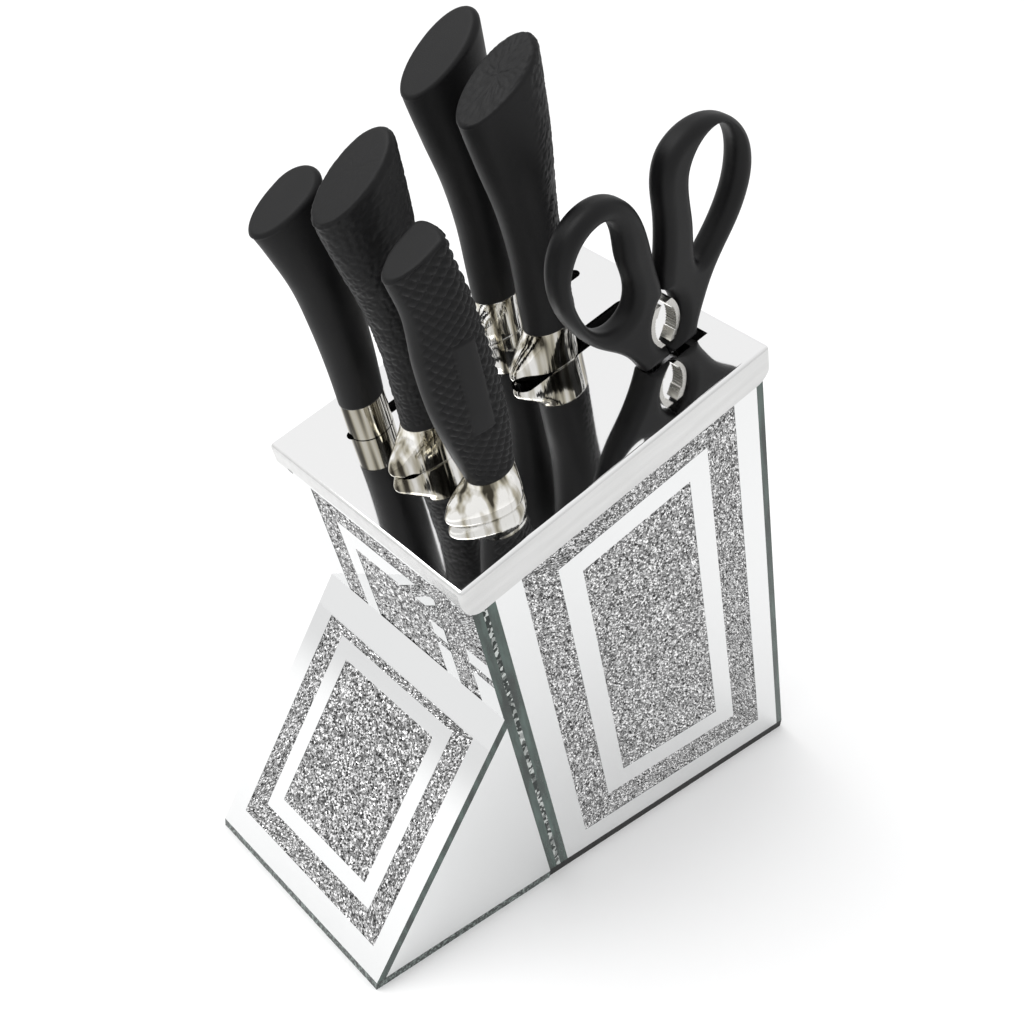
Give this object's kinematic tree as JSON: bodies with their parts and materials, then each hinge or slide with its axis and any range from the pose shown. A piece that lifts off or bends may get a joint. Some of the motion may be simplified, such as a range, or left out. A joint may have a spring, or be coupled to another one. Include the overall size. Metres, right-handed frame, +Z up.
{
  "type": "knife block set",
  "caption": "Leaning mirrored-glass knife block on a wedge foot, with crushed-crystal panels, a slotted steel cap, and lift-out knives, sharpening steel and kitchen shears.",
  "frame": {"origin": "middle of the object's bounding box, on the surface that it stands on", "axes": "+X from the wedge's toe to the block's heel, +Y from the shears' side to the other side, +Z up"},
  "size_m": [0.2434, 0.109, 0.339],
  "materials": {
    "crystal": "crushed crystal on a silver ground",
    "edge_glass": "dark green glass edge",
    "cover_glass": "silvered glass, dark green at its edges",
    "mirror": "polished",
    "cap_steel": "mirror polished stainless steel",
    "black_board": "black painted fibreboard",
    "foot_board": "matt black",
    "bolster_chrome": "polished",
    "black_grip": "soft matt, partly textured",
    "rod_steel": "fine ribs along the rod",
    "teeth_steel": "satin",
    "pivot_steel": "satin",
    "blade_steel": "satin"
  },
  "bodies": {
    "block": {"base_pad": "foot_board", "wedge_base_glass": "edge_glass", "wedge_core": "black_board", "wedge_near_mirror": "mirror", "wedge_far_mirror": "mirror", "slope_cover_glass": "cover_glass", "slope_crystal_frame": "crystal", "slope_crystal_centre": "crystal", "slope_backing_mirror": "mirror", "near_cover_glass": "cover_glass", "near_crystal_frame": "crystal", "near_crystal_centre": "crystal", "near_backing_mirror": "mirror", "far_cover_glass": "cover_glass", "far_crystal_frame": "crystal", "far_crystal_centre": "crystal", "far_backing_mirror": "mirror", "near_crystal_bed": "crystal", "far_crystal_bed": "crystal", "front_crystal_bed": "crystal", "slope_crystal_bed": "crystal", "front_cover_glass": "cover_glass", "front_crystal_frame": "crystal", "front_crystal_centre": "crystal", "front_backing_mirror": "mirror", "rear_mirror": "mirror", "near_board": "black_board", "far_board": "black_board", "front_board": "black_board", "rear_board": "black_board", "floor_board": "black_board", "near_divider": "black_board", "far_divider": "black_board", "slotted_top_board": "black_board", "steel_cap": "cap_steel"},
    "carving_knife": {"carving_knife_blade": "blade_steel", "carving_knife_bolster": "bolster_chrome", "carving_knife_handle": "black_grip"},
    "paring_knife": {"paring_knife_blade": "blade_steel", "paring_knife_bolster": "bolster_chrome", "paring_knife_handle": "black_grip"},
    "bread_knife": {"bread_knife_blade": "blade_steel", "bread_knife_bolster": "bolster_chrome", "bread_knife_handle": "black_grip"},
    "chef_knife": {"chef_knife_blade": "blade_steel", "chef_knife_bolster": "bolster_chrome", "chef_knife_handle": "black_grip"},
    "sharpening_steel": {"steel_rod": "rod_steel", "steel_ferrule": "bolster_chrome", "steel_handle": "black_grip"},
    "shears": {"shears_front_handle": "black_grip", "shears_front_blade": "blade_steel", "front_nut_teeth": "teeth_steel", "shears_pivot_screw": "pivot_steel", "shears_pivot_nut": "pivot_steel"},
    "shears_rear_half": {"shears_rear_handle": "black_grip", "shears_rear_blade": "blade_steel", "rear_nut_teeth": "teeth_steel"}
  },
  "joints": [
    {"name": "sharpening_steel_lift", "type": "slide", "parent": "block", "child": "sharpening_steel", "axis": [-0.3272, 0, 0.9449], "range_m": [0, 0.19]},
    {"name": "carving_knife_lift", "type": "slide", "parent": "block", "child": "carving_knife", "axis": [-0.3272, 0, 0.9449], "range_m": [0, 0.185]},
    {"name": "paring_knife_lift", "type": "slide", "parent": "block", "child": "paring_knife", "axis": [-0.3272, 0, 0.9449], "range_m": [0, 0.105]},
    {"name": "bread_knife_lift", "type": "slide", "parent": "block", "child": "bread_knife", "axis": [-0.3272, 0, 0.9449], "range_m": [0, 0.2]},
    {"name": "chef_knife_lift", "type": "slide", "parent": "block", "child": "chef_knife", "axis": [-0.3272, 0, 0.9449], "range_m": [0, 0.195]},
    {"name": "shears_lift", "type": "slide", "parent": "block", "child": "shears", "axis": [-0.3272, 0, 0.9449], "range_m": [0, 0.125]},
    {"name": "shears_open", "type": "hinge", "parent": "shears", "child": "shears_rear_half", "pos_m": [0.02301, -0.0265, 0.2186], "axis": [0, 1, 0], "range_deg": [0, 12]}
  ]
}
